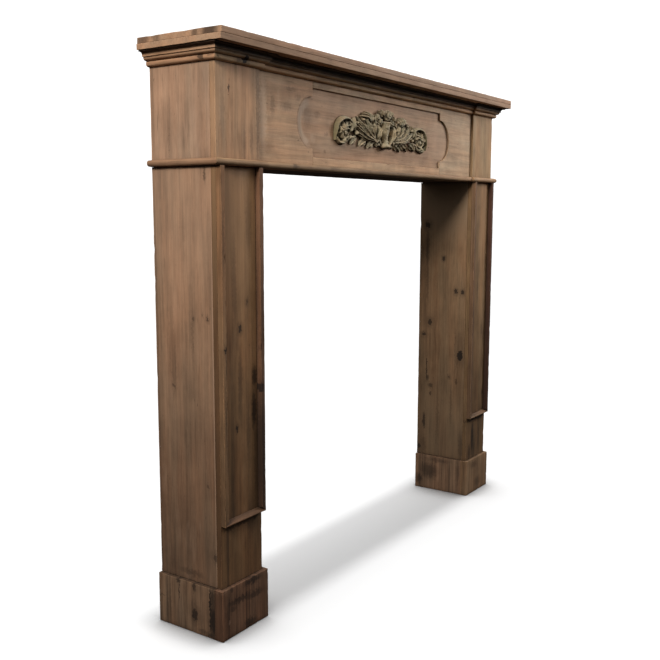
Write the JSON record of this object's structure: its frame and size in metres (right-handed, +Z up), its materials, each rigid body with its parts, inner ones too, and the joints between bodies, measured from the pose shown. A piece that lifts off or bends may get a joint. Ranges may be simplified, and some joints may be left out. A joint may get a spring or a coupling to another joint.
{
  "type": "fireplace mantel",
  "caption": "Pine fireplace mantel: moulded shelf on a frieze with a carved vase of flowers, on two box legs with plinths.",
  "frame": {"origin": "middle of the underside of the overall box, on the floor, half the shelf's depth in front of the wall plane", "axes": "+X along the shelf to the right as seen from the room, -Y out of the front into the room, +Y to the wall, +Z up"},
  "size_m": [1.374, 0.2256, 1.25],
  "materials": {
    "shelf": "stripped old pine, greyed at the edge, dry and matt",
    "lintel": "stripped old pine, pale and matt",
    "moulding": "stripped old pine with dirt in the quirks",
    "leg": "stripped old pine, knotty, darker towards the floor",
    "plinth": "stripped old pine, dark and worn",
    "carving": "carved wood, dry and grey",
    "inside": "rough unfinished pine"
  },
  "bodies": {
    "root": {"shelf_lower_board": "shelf", "shelf_upper_board": "shelf", "cornice_left_return": "moulding", "cornice_left_block": "moulding", "cornice_centre": "moulding", "cornice_right_block": "moulding", "cornice_right_return": "moulding", "astragal_left_return": "moulding", "astragal_left_block": "moulding", "astragal_centre": "moulding", "astragal_right_block": "moulding", "astragal_right_return": "moulding", "frieze_backing_board": "lintel", "lintel_soffit_board": "inside", "frieze_top_rail": "lintel", "frieze_bottom_rail": "lintel", "carved_ornament": "carving", "lintel_left_side": "lintel", "block_left_front": "lintel", "frieze_left_facing": "lintel", "left_leg_front": "leg", "left_leg_outer_side": "leg", "left_leg_inner_side": "leg", "left_leg_outer_stile": "leg", "left_leg_inner_stile": "leg", "left_leg_rail": "leg", "left_plinth_front": "plinth", "left_plinth_outer_side": "plinth", "left_plinth_inner_side": "plinth", "lintel_right_side": "lintel", "block_right_front": "lintel", "frieze_right_facing": "lintel", "right_leg_front": "leg", "right_leg_outer_side": "leg", "right_leg_inner_side": "leg", "right_leg_outer_stile": "leg", "right_leg_inner_stile": "leg", "right_leg_rail": "leg", "right_plinth_front": "plinth", "right_plinth_outer_side": "plinth", "right_plinth_inner_side": "plinth"}
  },
  "joints": []
}
